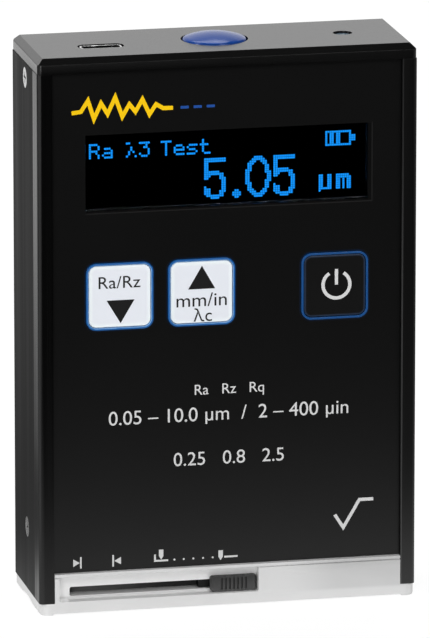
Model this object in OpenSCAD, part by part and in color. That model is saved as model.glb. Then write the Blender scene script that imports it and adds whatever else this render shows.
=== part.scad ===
// Pocket surface roughness tester. A C-shaped extruded housing stands on a metal base and is closed by a cap.
// The front plate carries the display and three keys. A traverse drive on the base draws a hinged pick-up
// along, and the knob in the base's slot lifts that pick-up clear through a wedge bar.
// Millimetres. Front is -Y, width runs along X, the feet stand on Z = 0.

/* [Housing] */
// Width of the housing
body_w = 70; // [68:0.5:80]
// Depth of the housing, front lips to back
body_d = 24; // [23.5:0.5:30]
// Length of the extruded housing
housing_h = 98.2; // [94:0.2:120]
// Thickness of the side walls
side_wall = 1.8; // [1.5:0.1:2.2]
// Thickness of the back wall
back_wall = 1.8; // [1.4:0.1:2]
// Radius of the four long edges
corner_r = 0.8; // [0.5:0.1:2.2]
// Width of each front lip, from the side face
lip_w = 2.7; // [2.4:0.1:3.2]
// Thickness of the front lips
lip_t = 1.2; // [1:0.1:1.4]
// How far the inner guide ribs stand in from the side walls
rib_in = 1.4; // [1:0.1:1.8]
// Thickness of the inner guide ribs
rib_t = 1; // [0.8:0.1:1.2]

/* [Front plate] */
// Thickness of the front plate
plate_t = 1.5; // [1.2:0.1:1.8]
// Thickness of the printed film
overlay_t = 0.25; // [0.15:0.05:0.4]
// Distance from each side face to the display window
window_side = 8.9; // [8:0.1:11]
// Height of the display window
window_h = 14.1; // [12:0.1:16]
// Distance from the housing's top down to the window
window_drop = 11.6; // [10.5:0.1:14]
// Thickness of the window pane
lens_t = 1.3; // [1:0.1:1.4]
// Border of the display module behind the plate
module_border = 2; // [1.5:0.1:2.2]
// Thickness of the display module
module_t = 1.6; // [1.2:0.1:2]

/* [Keys] */
// Outer size of a key with its blue frame
key_size = 12.4; // [11:0.1:13]
// Outer corner radius of the frame
key_r = 1.9; // [1.4:0.1:2.4]
// Width of the frame's visible rim
key_rim = 0.5; // [0.4:0.05:0.8]
// How far the rim stands proud of the film
rim_proud = 0.4; // [0.2:0.05:0.6]
// Distance from the housing's top down to the key centres
key_drop = 41.5; // [38:0.5:46]
// Distance between the two left keys' centres
key_pitch = 15.1; // [14.8:0.1:16]
// Travel of a key
key_travel = 0.4; // [0.2:0.05:0.6]

/* [Electronics] */
// Space between the front plate and the board
board_gap = 4.2; // [4:0.1:5]
// Thickness of the board
board_t = 1.6; // [1:0.1:2]
// Width of the battery
cell_w = 36; // [30:1:44]
// Height of the battery
cell_h = 46; // [36:1:48]
// Thickness of the battery
cell_t = 6; // [4:0.2:7]

/* [Top cap] */
// Height of the cap above the housing
cap_h = 2.8; // [2.4:0.1:4]
// Chamfer round the cap's top
cap_chamfer = 1.1; // [0.8:0.1:1.8]
// How far the cap stays inside the housing's outline
cap_inset = 0.1; // [0:0.05:0.4]
// Diameter of the start button
start_d = 11.6; // [10:0.2:13]
// Space round the start button in the cap
start_gap = 0.3; // [0.1:0.05:0.4]
// Rise of the button's dome
start_rise = 0.8; // [0.4:0.1:1.4]
// Travel of the start button
start_travel = 0.6; // [0.4:0.1:1]
// Distance of the socket from the left side face
usb_side = 13.6; // [13:0.2:18]
// Width of the socket's cut-out
usb_cut_w = 8.4; // [8.2:0.1:9]
// Depth of the socket's cut-out
usb_cut_d = 3.6; // [3.4:0.1:4]
// How far the socket's rim lies below the cap's top
usb_sink = 0.4; // [0.1:0.1:1]
// Distance of the lamp hole from the right side face
lamp_side = 11.2; // [11:0.2:17]
// Diameter of the lamp hole
lamp_d = 3.5; // [3:0.1:4]

/* [Base] */
// Height of the base below the housing
foot_h = 2.2; // [2.2:0.1:3]
// Height of the base's front above the housing's lower edge
front_h = 5.4; // [4.6:0.1:6]
// How far the base's front stays behind the lips
base_set = 0; // [0:0.05:0.4]
// Radius of the flange's corners
base_r = 2; // [1:0.1:2.4]
// Height of the narrow strip along the base's upper edge
base_step = 0.5; // [0.4:0.1:1]
// Length of a corner pad
pad_w = 2.5; // [2:0.1:5]
// Relief between the corner pads
pad_relief = 0.3; // [0.1:0.05:0.5]
// Rounding of the flange's lower ends
foot_r = 0.7; // [0.3:0.1:1.6]
// Width of the arch across the underside
arch_w = 15; // [12:0.5:17]
// Rise of the arch
arch_rise = 0.9; // [0.8:0.1:1.3]
// Depth of the knob's pocket
pocket_d = 2.3; // [1.2:0.1:2.3]
// Space past the knob's right end in the pocket
pocket_end = 0.9; // [0.2:0.1:1]
// Height of the inner floor, and of the slot's lower edge, above the flange
floor_rise = 0.7; // [0.2:0.1:0.8]
// Height of the slot
slot_h = 1.7; // [1.6:0.1:2.2]
// Height of the side lugs above the housing's lower edge
lug_h = 14.6; // [14:0.2:18]

/* [Slider] */
// Width of the knob
knob_w = 8.6; // [8:0.1:10]
// Height of the knob
knob_h = 2.8; // [2.8:0.1:3.4]
// Space between the knob and its pocket
knob_gap = 0.1; // [0.05:0.05:0.3]
// How far the slot runs past the middle, to the right
slot_out = 5.45; // [4:0.05:6]
// Thickness of the wedge bar behind the slot
bar_t = 1.9; // [1.6:0.1:2]

/* [Traverse] */
// Length the pick-up is drawn along
scan_len = 6; // [4:0.5:6.5]
// Hinge to stylus distance
reach = 16.6; // [16:0.2:17]
// Diameter of the guide rods
rod_d = 2; // [1.6:0.1:2.2]
// Diameter of the lead screw
lead_d = 2.4; // [2:0.1:2.8]
// Wall of the brass nut
nut_wall = 0.55; // [0.4:0.05:0.7]
// Diameter of the motor
motor_d = 7.4; // [6:0.2:8]
// Space between the motor's end and the side lug
motor_gap = 1.55; // [1:0.05:3]
// Thickness of the drive frame
frame_t = 1.1; // [1:0.1:1.2]

/* [Fasteners] */
// Head diameter of the side screws
head_d = 3.8; // [3.6:0.1:4.2]
// Thread diameter of the side screws
thread_d = 2; // [1.6:0.1:2.2]
// Height of the lower side screws above the housing's lower edge
low_screw = 11.6; // [11:0.1:12]
// Depth of the upper side screws below the housing's top
top_screw = 2.8; // [2.5:0.1:3.4]

/* [Fits] */
// Slip fit between sliding and stacked pieces
fit = 0.1; // [0.05:0.01:0.15]
// Radial clearance of running fits
run_gap = 0.04; // [0.02:0.01:0.08]
// Radial clearance of pressed and screwed fits
press_gap = 0.02; // [0.01:0.01:0.04]

/* [Hidden] */
$fn = 48;
over = 1;

// Levels and faces of the body
half_w = body_w / 2;
front_y = -body_d / 2;
back_y = body_d / 2;
low_z = foot_h;
top_z = foot_h + housing_h;
cap_z = top_z + cap_h;
in_x = half_w - side_wall;
in_y = back_y - back_wall;
rib_x = in_x - rib_in;

// Layers behind the front
plate_y = front_y + lip_t;
film_y = plate_y - overlay_t;
plate_back = plate_y + plate_t;
board_y = plate_back + board_gap;
board_back = board_y + board_t;
rib_ys = [plate_back + fit, board_y - fit - rib_t, board_back + fit];

// Window and keys
window_w = body_w - 2 * window_side;
window_z = top_z - window_drop - window_h / 2;
key_z = top_z - key_drop;
key_left_x = -window_w / 2 + key_size / 2;
key_xs = [key_left_x, key_left_x + key_pitch, window_w / 2 - key_size / 2];
key_hole = key_size - 2 * key_rim;
key_hole_r = key_r - key_rim;
bezel_t = 0.6;
key_flange_y = plate_back + bezel_t + 0.05;
key_flange_t = 0.6;
switch_tip_y = key_flange_y + key_flange_t + key_travel + 0.1;

// Base
base_top = low_z + front_h;
base_y = front_y + base_set;
floor_z = foot_h + floor_rise;
tongue_x = half_w - lip_w - fit;
tray_x = rib_x - fit - 0.05;
end_wall = 1.2;
tray_in_x = tray_x - end_wall;
tray_back_y = in_y - fit - 0.05;
tray_back_t = 1.1;
arch_r = (pow(arch_w / 2, 2) + pow(arch_rise, 2)) / (2 * arch_rise);
lug_t = 5;
lug_w = 4.2;
screw_zs = [low_z + low_screw, top_z - top_screw];
head_sink = 0.05;

// Knob, its pocket and its slot
pocket_y = base_y + pocket_d;
slot_z = floor_z + slot_h / 2;
pocket_low = 0.5;
pocket_z0 = floor_z - pocket_low;
pocket_z1 = base_top - base_step;
groove_h = 0.25;
stem_w = 6.5;
stem_end = 1.35;
slot_x0 = -tray_in_x + 1.4;
slot_x1 = slot_out;
stem_x0 = slot_x1 - stem_end - stem_w;
slide_travel = stem_x0 - slot_x0 - stem_end;
knob_off = 0.4;
knob_x = stem_x0 + stem_w / 2 + knob_off;
pocket_x0 = slot_x0 - 2.3;
pocket_x1 = knob_x + knob_w / 2 + pocket_end;
knob_z = pocket_z0 + knob_gap + knob_h / 2;
knob_y = base_y + pocket_d * 0.4;
bar_y = plate_back + 0.15;
bar_x0 = -tray_in_x + 0.2 + slide_travel;
bar_x1 = bar_x0 + slide_travel + 3;
guide_y = bar_y + bar_t + 0.15;
guide_t = 1;

// Pick-up
hinge_z = 8;
hinge_in = 9.9;
lift_arm = 8;
hinge_x = bar_x0 + hinge_in;
lever_w = 3.8;
lever_z0 = hinge_z - 1.4;
lever_z1 = hinge_z + 1.4;
tip_x = hinge_x - reach;
nose_x0 = tip_x - 1.4;
nose_x1 = tip_x + 6;
nose_z = floor_z + 0.6;
lift_x = hinge_x - lift_arm;
lift_r = 0.8;
lift_deg = 9;
lift_rise = lift_arm * sin(lift_deg);
wedge_z0 = hinge_z - lift_r - 0.3;
wedge_z1 = wedge_z0 + lift_rise * (bar_x1 - bar_x0) / slide_travel;
pivot_x = tip_x + 5;
pivot_z = nose_z + 1.2;
skid_r = 1.1;
skid_x = tip_x + 1.75;
ride_z = 0.06;
win_x0 = tip_x - scan_len - 2.2;
win_x1 = skid_x + skid_r + 0.9;
win_y = 3.2;

// Traverse drive
drive_z = 12;
car_end = 1;
sleeve_r = 1.8;
rod_zs = [drive_z - 4, drive_z + 4];
web_y1 = tray_back_y - tray_back_t - fit;
web_y0 = web_y1 - frame_t;
car_x0 = lift_x - car_end;
car_x1 = hinge_x + 1.2;
car_y0 = lever_w / 2 + 0.2;
car_y1 = web_y0 - 0.2;
drive_y = (car_y0 + car_y1) / 2;
nut_r = lead_d / 2 + nut_wall;
car_z0 = drive_z - 6.4;
car_z1 = drive_z + 6.4;
ear_t = 1.2;
bridge_z = drive_z + 1.6;
bridge_t = 1.4;
frame_x0 = car_x0 - scan_len - 2.4 - frame_t;
frame_x1 = car_x1 + 4.9;
frame_top = drive_z + 7.6;
frame_y0 = car_y0 + 0.1;
tab_w = 5;
tab_y = drive_y + 0.6;
journal_r = 0.75;
sleeve_x0 = car_x1 + 0.6;
sleeve_x1 = sleeve_x0 + 3;
sleeve_mid = (sleeve_x0 + sleeve_x1) / 2;
gear_x0 = frame_x1;
gear_len = 5.5;
motor_x = gear_x0 + gear_len;
motor_len = in_x - fit - lug_t - motor_gap - motor_x;

// Electronics
board_low = 33;
board_z0 = low_z + board_low;
board_z1 = top_z - 3.6;
cell_z = (board_z0 + board_z1) / 2 - 2;
tape_t = 0.6;
usb_w = 7.6;
usb_d = 2.8;
usb_y = board_back + usb_d / 2;
usb_out = half_w - usb_side;
lamp_out = half_w - lamp_side;
usb_z0 = top_z - cap_h * 1.5;
usb_z1 = cap_z - usb_sink;
rail_side = 9;
rail_drop = 4;
rail_t = 1.4;
start_flange_t = 1;
start_stem_z = top_z - 0.05 - start_flange_t - 0.6;
start_tip_z = start_stem_z - start_travel - 0.1;
lamp_y = 0;

// A block between its lowest and its highest corner
module block(a, b) {
    translate(a)
        cube(b - a);
}

// Round bars along each axis, between two ends
module rod_x(r, x0, x1, y, z) {
    translate([x0, y, z])
        rotate([0, 90, 0])
            cylinder(r = r, h = x1 - x0);
}

module rod_y(r, y0, y1, x, z) {
    translate([x, y1, z])
        rotate([90, 0, 0])
            cylinder(r = r, h = y1 - y0);
}

module rod_z(r, z0, z1, x, y) {
    translate([x, y, z0])
        cylinder(r = r, h = z1 - z0);
}

// A flat shape drawn in X and Z, given depth between two Y faces
module facing(y0, y1) {
    translate([0, y1, 0])
        rotate([90, 0, 0])
            linear_extrude(y1 - y0)
                children();
}

// A flat shape drawn in Y and Z, given length between two X faces
module along_x(x0, x1) {
    translate([x0, 0, 0])
        rotate([90, 0, 90])
            linear_extrude(x1 - x0)
                children();
}

// A rectangle with round corners, about its middle
module round_rect(w, h, r) {
    square([w - 2 * r, h], center = true);
    square([w, h - 2 * r], center = true);
    for (sx = [-1, 1])
        for (sy = [-1, 1])
            translate([sx * (w / 2 - r), sy * (h / 2 - r)])
                circle(r);
}

// The same piece on both sides of the middle
module both_sides() {
    children();
    mirror([1, 0, 0])
        children();
}

// Side screws point inward from the right side face
module at_side_screws() {
    both_sides()
        for (z = screw_zs)
            translate([half_w, 0, z])
                rotate([0, -90, 0])
                    children();
}

module housing_cavity() {
    difference() {
        translate([-in_x, plate_y])
            square([2 * in_x, in_y - plate_y]);
        for (y = rib_ys)
            for (s = [-1, 1])
                translate([s * (rib_x + rib_in / 2 + over / 2), y + rib_t / 2])
                    square([rib_in + over, rib_t], center = true);
    }
    translate([-(half_w - lip_w), front_y - over])
        square([2 * (half_w - lip_w), lip_t + over + rib_t / 2]);
}

module housing() {
    color("#2b2b2f")
        difference() {
            translate([0, 0, low_z])
                linear_extrude(housing_h)
                    difference() {
                        round_rect(body_w, body_d, corner_r);
                        housing_cavity();
                    }
            at_side_screws() {
                translate([0, 0, -over])
                    cylinder(d = thread_d + 2 * fit, h = side_wall + 2 * over);
                translate([0, 0, -over])
                    cylinder(d = head_d + 2 * press_gap, h = head_sink + over);
                translate([0, 0, head_sink])
                    countersink(press_gap);
            }
        }
}

// Cone of a countersunk head, with a short straight rim
module countersink(gap) {
    cone_h = (head_d - thread_d) / 2;
    rim_h = 0.2;
    translate([0, 0, -gap])
        cylinder(d = head_d + 2 * gap, h = rim_h + gap);
    translate([0, 0, rim_h])
        cylinder(d1 = head_d + 2 * gap, d2 = thread_d + 2 * gap, h = cone_h);
}

module side_screws() {
    color("#c9cbce")
        at_side_screws()
            difference() {
                union() {
                    translate([0, 0, head_sink])
                        countersink(0);
                    translate([0, 0, 0.5])
                        cylinder(d = thread_d, h = side_wall + 3.2);
                }
                for (a = [0, 90])
                    rotate([0, 0, a])
                        translate([0, 0, 0.3])
                            cube([head_d * 0.55, 0.5, 0.8], center = true);
            }
}

module key_opening(grow) {
    for (x = key_xs)
        translate([x, key_z])
            round_rect(key_size + 2 * grow, key_size + 2 * grow, key_r + grow);
}

module window_opening(grow) {
    translate([0, window_z])
        square([window_w + 2 * grow, window_h + 2 * grow], center = true);
}

module front_sheet(half, y0, y1) {
    facing(y0, y1)
        difference() {
            translate([-half, base_top + fit])
                square([2 * half, top_z - base_top - 2 * fit]);
            key_opening(fit);
            window_opening(0);
        }
}

module front_plate() {
    color("#3a3a3e")
        front_sheet(in_x - fit, plate_y, plate_back);
}

module front_overlay() {
    color("#101013")
        front_sheet(half_w - lip_w - fit, film_y, plate_y);
}

module display_lens() {
    color("#1a2430")
        facing(plate_back - lens_t, plate_back)
            window_opening(-fit);
}

module display_module() {
    color("#0b0d12")
        facing(plate_back, plate_back + module_t)
            window_opening(module_border);
}

module display_carrier() {
    color("#dddddd")
        facing(plate_back + module_t, board_y)
            difference() {
                window_opening(module_border);
                window_opening(module_border - 1.6);
            }
}

module key_bezels() {
    bezel_hole = key_hole + 2 * fit;
    color("#1d5fb8")
        difference() {
            union() {
                facing(film_y - rim_proud, plate_back)
                    key_opening(0);
                facing(plate_back, plate_back + bezel_t)
                    key_opening(0.5);
            }
            facing(film_y - rim_proud - over, plate_back + bezel_t + over)
                for (x = key_xs)
                    translate([x, key_z])
                        round_rect(bezel_hole, bezel_hole, key_hole_r + fit);
        }
}

module key_pad(x) {
    flange = key_hole + 1;
    translate([x, 0, key_z]) {
        facing(film_y - rim_proud + 0.12, key_flange_y)
            round_rect(key_hole, key_hole, key_hole_r);
        facing(key_flange_y, key_flange_y + key_flange_t)
            round_rect(flange, flange, key_hole_r);
    }
}

module key_down() {
    color("#eef0f2")
        key_pad(key_xs[0]);
}

module key_up() {
    color("#eef0f2")
        key_pad(key_xs[1]);
}

module key_power() {
    color("#151517")
        key_pad(key_xs[2]);
}

module main_board() {
    tab = 6;
    color("#1f6b45") {
        block([-in_x + fit, board_y, board_z0], [in_x - fit, board_back, board_z1]);
        block([-usb_out - tab, board_y, board_z1 - over], [-usb_out + tab, board_back, top_z - fit]);
    }
}

// A component on the back of the board, about its middle
module chip(x, z, w, h, t) {
    block([x - w / 2, board_back, z - h / 2], [x + w / 2, board_back + t, z + h / 2]);
}

module board_chips() {
    color("#222222") {
        chip(key_xs[0], key_z, key_hole * 0.9, key_hole * 0.9, board_t * 0.7);
        chip(half_w * 0.31, key_z, key_hole * 0.55, key_hole * 0.65, board_t * 0.9);
        chip(half_w * 0.6, board_z0 + key_hole * 0.8, key_hole * 0.9, key_hole * 0.5, board_t * 1.5);
        chip(-half_w * 0.63, board_z0 + key_hole * 0.6, key_hole * 0.7, key_hole * 0.35, board_t);
    }
}

module key_switches() {
    body_t = (board_y - switch_tip_y) * 0.75;
    color("#b8bac0")
        for (x = key_xs) {
            block([x - 3, board_y - body_t, key_z - 3], [x + 3, board_y, key_z + 3]);
            rod_y(1.6, switch_tip_y, board_y, x, key_z);
        }
}

module start_switch() {
    color("#b8bac0") {
        block([-3.1, board_back, start_tip_z - 5], [3.1, -board_back * 0.7, start_tip_z - 0.9]);
        rod_z(1.5, start_tip_z - 2, start_tip_z, 0, 0);
    }
}

module usb_outline(shrink) {
    translate([-usb_out, usb_y])
        round_rect(usb_w - 2 * shrink, usb_d - 2 * shrink, usb_d * 0.3 - shrink / 2);
}

module usb_socket() {
    shell_t = 0.3;
    color("#c4c6c9")
        translate([0, 0, usb_z0])
            difference() {
                linear_extrude(usb_z1 - usb_z0)
                    usb_outline(0);
                translate([0, 0, 1])
                    linear_extrude(usb_z1 - usb_z0)
                        usb_outline(shell_t);
            }
}

module usb_tongue() {
    color("#1b1b1b")
        block([-usb_out - 1.9, usb_y + 0.1, usb_z0 + 1], [-usb_out + 1.9, usb_y + 0.7, usb_z1 - 0.7]);
}

module indicator_led() {
    bulb_r = lamp_d / 2 - 0.3;
    color("#5a6d78") {
        block([lamp_out - 2.2, board_back, board_z1 - 6], [lamp_out + 2.2, lamp_y + 2.2, board_z1]);
        rod_z(bulb_r, board_z1 - over, cap_z - 1.4, lamp_out, lamp_y);
    }
}

module battery() {
    tape_y = in_y - tape_t;
    color("#9aa3ad")
        facing(tape_y - cell_t, tape_y)
            translate([0, cell_z])
                round_rect(cell_w, cell_h, 2);
}

module battery_tape() {
    color("#e8e8e8")
        block([-cell_w / 2 + 3, in_y - tape_t, cell_z - cell_h / 2 + 3],
            [cell_w / 2 - 3, in_y, cell_z + cell_h / 2 - 3]);
}

// Section of the cap's slab, with the chamfer along both upper edges
module cap_section(width) {
    half = width / 2;
    polygon([[-half, top_z], [half, top_z], [half, cap_z - cap_chamfer], [half - cap_chamfer, cap_z],
        [cap_chamfer - half, cap_z], [-half, cap_z - cap_chamfer]]);
}

module top_cap() {
    cap_w = body_w - 2 * cap_inset;
    cap_d = body_d - 2 * cap_inset;
    lug_low = 5.2;
    color("#3b3b3f")
        difference() {
            union() {
                intersection() {
                    translate([0, 0, top_z - over])
                        linear_extrude(cap_h + 2 * over)
                            round_rect(cap_w, cap_d, corner_r);
                    facing(front_y - over, back_y + over)
                        cap_section(cap_w);
                    along_x(-half_w - over, half_w + over)
                        cap_section(cap_d);
                }
                both_sides()
                    block([in_x - fit - lug_t, -lug_w / 2, top_z - lug_low], [in_x - fit, lug_w / 2, top_z + 0.5]);
                block([rail_side - half_w, in_y - fit - rail_t, top_z - rail_drop],
                    [half_w - rail_side, in_y - fit, top_z + 0.5]);
            }
            rod_z(start_d / 2 + start_gap, top_z - over, cap_z + over, 0, 0);
            rod_z(lamp_d / 2, top_z - over, cap_z + over, lamp_out, lamp_y);
            translate([-usb_out, usb_y, top_z - over])
                linear_extrude(cap_h + 2 * over)
                    round_rect(usb_cut_w, usb_cut_d, usb_cut_d * 0.42);
            both_sides()
                rod_x(thread_d / 2 + press_gap, in_x - lug_t - over, in_x, 0, screw_zs[1]);
        }
}

module start_button() {
    r = start_d / 2;
    rim_z = cap_z + 0.1;
    dome_r = (r * r + start_rise * start_rise) / (2 * start_rise);
    flange_z = top_z - 0.05 - start_flange_t;
    color("#3f63c8")
        rotate_extrude() {
            translate([0, flange_z])
                square([r, rim_z - flange_z]);
            translate([0, flange_z])
                square([r + start_gap + 0.5, start_flange_t]);
            translate([0, start_stem_z])
                square([2.2, flange_z - start_stem_z + 0.5]);
            intersection() {
                translate([0, rim_z + start_rise - dome_r])
                    circle(dome_r, $fn = 96);
                translate([0, rim_z - 0.3])
                    square([r, start_rise + over]);
            }
        }
}

// The flange seen from the front, with round lower ends
module foot_section() {
    translate([-half_w + foot_r, 0])
        square([body_w - 2 * foot_r, foot_h]);
    translate([-half_w, foot_r])
        square([body_w, foot_h - foot_r]);
    for (s = [-1, 1])
        translate([s * (half_w - foot_r), foot_r])
            circle(foot_r);
}

module base_solid() {
    intersection() {
        linear_extrude(foot_h)
            round_rect(body_w, body_d, base_r);
        facing(front_y - over, back_y + over)
            foot_section();
    }
    block([-tongue_x, base_y, foot_h / 2], [tongue_x, plate_back, base_top]);
    block([-tray_x, plate_back - over, foot_h / 2], [tray_x, tray_back_y, floor_z]);
    block([-tray_x, tray_back_y - tray_back_t, foot_h / 2], [tray_x, tray_back_y, floor_z + 2.8]);
    both_sides() {
        block([tray_in_x, plate_back - over, foot_h / 2], [tray_x, tray_back_y, floor_z + 2.8]);
        block([in_x - fit - lug_t, -lug_w / 2, foot_h / 2], [in_x - fit, lug_w / 2, low_z + lug_h]);
    }
}

module base() {
    pad_x = half_w - pad_w;
    color("#d9dadc")
        difference() {
            base_solid();
            translate([0, 0, arch_rise - arch_r])
                rotate([0, 90, 0])
                    cylinder(r = arch_r, h = body_w + 2 * over, center = true, $fn = 120);
            block([-pad_x, front_y - over, -over], [pad_x, back_y + over, pad_relief]);
            facing(front_y - over, pocket_y)
                translate([(pocket_x0 + pocket_x1) / 2, (pocket_z0 + pocket_z1) / 2])
                    round_rect(pocket_x1 - pocket_x0, pocket_z1 - pocket_z0, 0.4);
            facing(pocket_y - over, plate_back + over)
                translate([(slot_x0 + slot_x1) / 2, slot_z])
                    round_rect(slot_x1 - slot_x0, slot_h, 0.4);
            block([-half_w, base_y - over, pocket_z1 - groove_h], [half_w, base_y + 0.4, pocket_z1]);
            block([win_x0, -win_y, -over], [win_x1, win_y, floor_z + over]);
            both_sides()
                rod_x(thread_d / 2 + press_gap, in_x - lug_t - over, in_x, 0, screw_zs[0]);
            at_tabs()
                rod_z(0.8 + press_gap, foot_h - 0.6, floor_z + over, 0, 0);
        }
}

// Black strip behind the slot that keeps the wedge bar against the front wall
module bar_guide() {
    color("#1c1c1e")
        block([-tray_in_x, guide_y, floor_z], [bar_x1 + 1, guide_y + guide_t, floor_z + slot_h]);
}

// Grooves across the middle of the knob's face
module knob_grooves() {
    count = 7;
    pitch = 0.75;
    for (i = [0 : count - 1])
        translate([knob_x + (i - (count - 1) / 2) * pitch, 0, knob_z])
            block([-0.18, knob_y - over, -knob_h / 2 + 0.35], [0.18, knob_y + 0.4, knob_h / 2 - 0.35]);
}

module slider_knob() {
    half = knob_w / 2;
    back = pocket_y - 0.12;
    bevel = pocket_d * 0.2;
    color("#4a4a4e") {
        difference() {
            intersection() {
                translate([knob_x, 0, knob_z - knob_h / 2])
                    linear_extrude(knob_h)
                        polygon([[-half, back], [half, back], [half, knob_y + bevel], [half - bevel, knob_y],
                            [bevel - half, knob_y], [-half, knob_y + bevel]]);
                translate([knob_x, 0, knob_z])
                    facing(knob_y - over, back + over)
                        round_rect(knob_w, knob_h, 0.5);
            }
            knob_grooves();
        }
        block([stem_x0, back - 0.2, slot_z - slot_h / 2 + 0.15],
            [stem_x0 + stem_w, bar_y + 1.1, slot_z + slot_h / 2 - 0.15]);
    }
}

// Wedge bar: its upper edge climbs to the right, so it lifts the pick-up as the knob goes left
module slide_bar() {
    bar_z0 = floor_z + 0.1;
    color("#26272a")
        difference() {
            facing(bar_y, bar_y + bar_t)
                polygon([[bar_x0, bar_z0], [bar_x1, bar_z0], [bar_x1, wedge_z1], [bar_x0, wedge_z0]]);
            block([stem_x0 - press_gap, bar_y - over, slot_z - slot_h / 2 + 0.13],
                [stem_x0 + stem_w + press_gap, bar_y + 1.12, slot_z + slot_h / 2 - 0.13]);
            at_slider_screws()
                rod_y(0.5 + press_gap, bar_y, bar_y + bar_t + over, 0, 0);
        }
}

module at_slider_screws() {
    for (x = [stem_x0 + 1.6, stem_x0 + stem_w - 1.6])
        translate([x, 0, slot_z])
            children();
}

module slider_screws() {
    color("#b9bbbf")
        at_slider_screws() {
            rod_y(0.5, bar_y + 1.14, bar_y + bar_t + 0.05, 0, 0);
            rod_y(0.8, bar_y + bar_t, bar_y + bar_t + 0.1, 0, 0);
        }
}

module at_tabs() {
    for (x = [frame_x0 - tab_w / 2, frame_x1 + tab_w / 2])
        translate([x, tab_y, 0])
            children();
}

module drive_frame() {
    color("#a7abb0")
        difference() {
            union() {
                block([frame_x0, frame_y0, floor_z], [frame_x0 + frame_t, web_y1, frame_top]);
                block([frame_x1 - frame_t, frame_y0, floor_z], [frame_x1, web_y1, frame_top]);
                block([frame_x0, web_y0, floor_z], [frame_x1, web_y1, frame_top]);
                block([frame_x0 - tab_w, frame_y0, floor_z], [frame_x0 + frame_t, web_y1, floor_z + frame_t]);
                block([frame_x1 - frame_t, frame_y0, floor_z], [frame_x1 + tab_w, web_y1, floor_z + frame_t]);
            }
            for (z = rod_zs)
                rod_x(rod_d / 2 + press_gap, frame_x0 - over, frame_x1 + over, drive_y, z);
            rod_x(1.6 + press_gap, frame_x0 - over, frame_x0 + frame_t + over, drive_y, drive_z);
            rod_x(1.4, frame_x1 - frame_t - over, frame_x1 + over, drive_y, drive_z);
            at_tabs()
                rod_z(0.8 + fit, floor_z - over, floor_z + frame_t + over, 0, 0);
        }
}

module frame_screws() {
    color("#b9bbbf")
        at_tabs() {
            rod_z(0.8, foot_h - 0.4, floor_z + frame_t + 0.2, 0, 0);
            rod_z(1.5, floor_z + frame_t, floor_z + frame_t + 0.9, 0, 0);
        }
}

module guide_rods() {
    color("#d2d4d8")
        for (z = rod_zs)
            rod_x(rod_d / 2, frame_x0, frame_x1, drive_y, z);
}

module screw_bush() {
    color("#b08d3c")
        difference() {
            rod_x(1.6, frame_x0, frame_x0 + frame_t, drive_y, drive_z);
            rod_x(journal_r + run_gap, frame_x0 - over, frame_x0 + frame_t + over, drive_y, drive_z);
        }
}

module lead_screw() {
    color("#c3c5c9") {
        rod_x(journal_r, frame_x0, sleeve_mid - fit / 2, drive_y, drive_z);
        rod_x(lead_d / 2, frame_x0 + frame_t + 0.1, sleeve_x0 - 0.1, drive_y, drive_z);
    }
}

module coupling_sleeve() {
    color("#b08d3c")
        difference() {
            rod_x(sleeve_r, sleeve_x0, sleeve_x1, drive_y, drive_z);
            rod_x(journal_r + press_gap, sleeve_x0 - over, sleeve_x1 + over, drive_y, drive_z);
        }
}

module motor_shaft() {
    color("#c3c5c9")
        rod_x(journal_r, sleeve_mid + fit / 2, gear_x0 + frame_t - 0.1, drive_y, drive_z);
}

module gearbox() {
    color("#b9a25a")
        difference() {
            rod_x(motor_d / 2, gear_x0, gear_x0 + gear_len, drive_y, drive_z);
            rod_x(journal_r + run_gap, gear_x0 - over, gear_x0 + 1.2, drive_y, drive_z);
        }
}

module drive_motor() {
    color("#aeb2b8") {
        rod_x(motor_d / 2, motor_x, motor_x + motor_len - 0.8, drive_y, drive_z);
        rod_x(1.2, motor_x, motor_x + motor_len, drive_y, drive_z);
    }
}

module carriage() {
    color("#3c4a58")
        difference() {
            union() {
                block([car_x0, car_y0, car_z0], [car_x1, car_y1, car_z1]);
                block([hinge_x - 6, -car_y0 - ear_t, bridge_z], [car_x1, car_y0 + over, bridge_z + bridge_t]);
                block([hinge_x - 1.4, -car_y0 - ear_t, hinge_z - 1.5], [car_x1, -car_y0, bridge_z + bridge_t]);
            }
            for (z = rod_zs)
                rod_x(rod_d / 2 + run_gap, car_x0 - over, car_x1 + over, drive_y, z);
            rod_x(nut_r + press_gap, car_x0 - over, car_x1 + over, drive_y, drive_z);
            rod_y(journal_r + press_gap, -car_y0 - ear_t - over, car_y0 + ear_t, hinge_x, hinge_z);
        }
}

module drive_nut() {
    color("#b08d3c")
        difference() {
            rod_x(nut_r, car_x0, car_x1, drive_y, drive_z);
            rod_x(lead_d / 2 + run_gap, car_x0 - over, car_x1 + over, drive_y, drive_z);
        }
}

module hinge_pin() {
    color("#d2d4d8")
        rod_y(journal_r, -car_y0 - ear_t, car_y0 + ear_t - 0.1, hinge_x, hinge_z);
}

module pickup_lever() {
    color("#54585e")
        difference() {
            facing(-lever_w / 2, lever_w / 2)
                polygon([[hinge_x + 1.6, lever_z0], [hinge_x + 1.6, lever_z1], [nose_x0, lever_z1],
                    [nose_x0, nose_z], [nose_x1, nose_z], [nose_x1 + 1.5, lever_z0]]);
            rod_y(journal_r + run_gap, -lever_w, lever_w, hinge_x, hinge_z);
            rod_y(lift_r + press_gap, -lever_w, 0.4, lift_x, hinge_z);
            block([tip_x - 0.8, -0.6, nose_z - over], [pivot_x + 0.7, 0.6, pivot_z + 1]);
            rod_y(0.4 + run_gap, -lever_w, lever_w, pivot_x, pivot_z);
        }
}

module lift_pin() {
    color("#d2d4d8")
        rod_y(lift_r, bar_y + 0.6, 0.3, lift_x, hinge_z);
}

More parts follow.
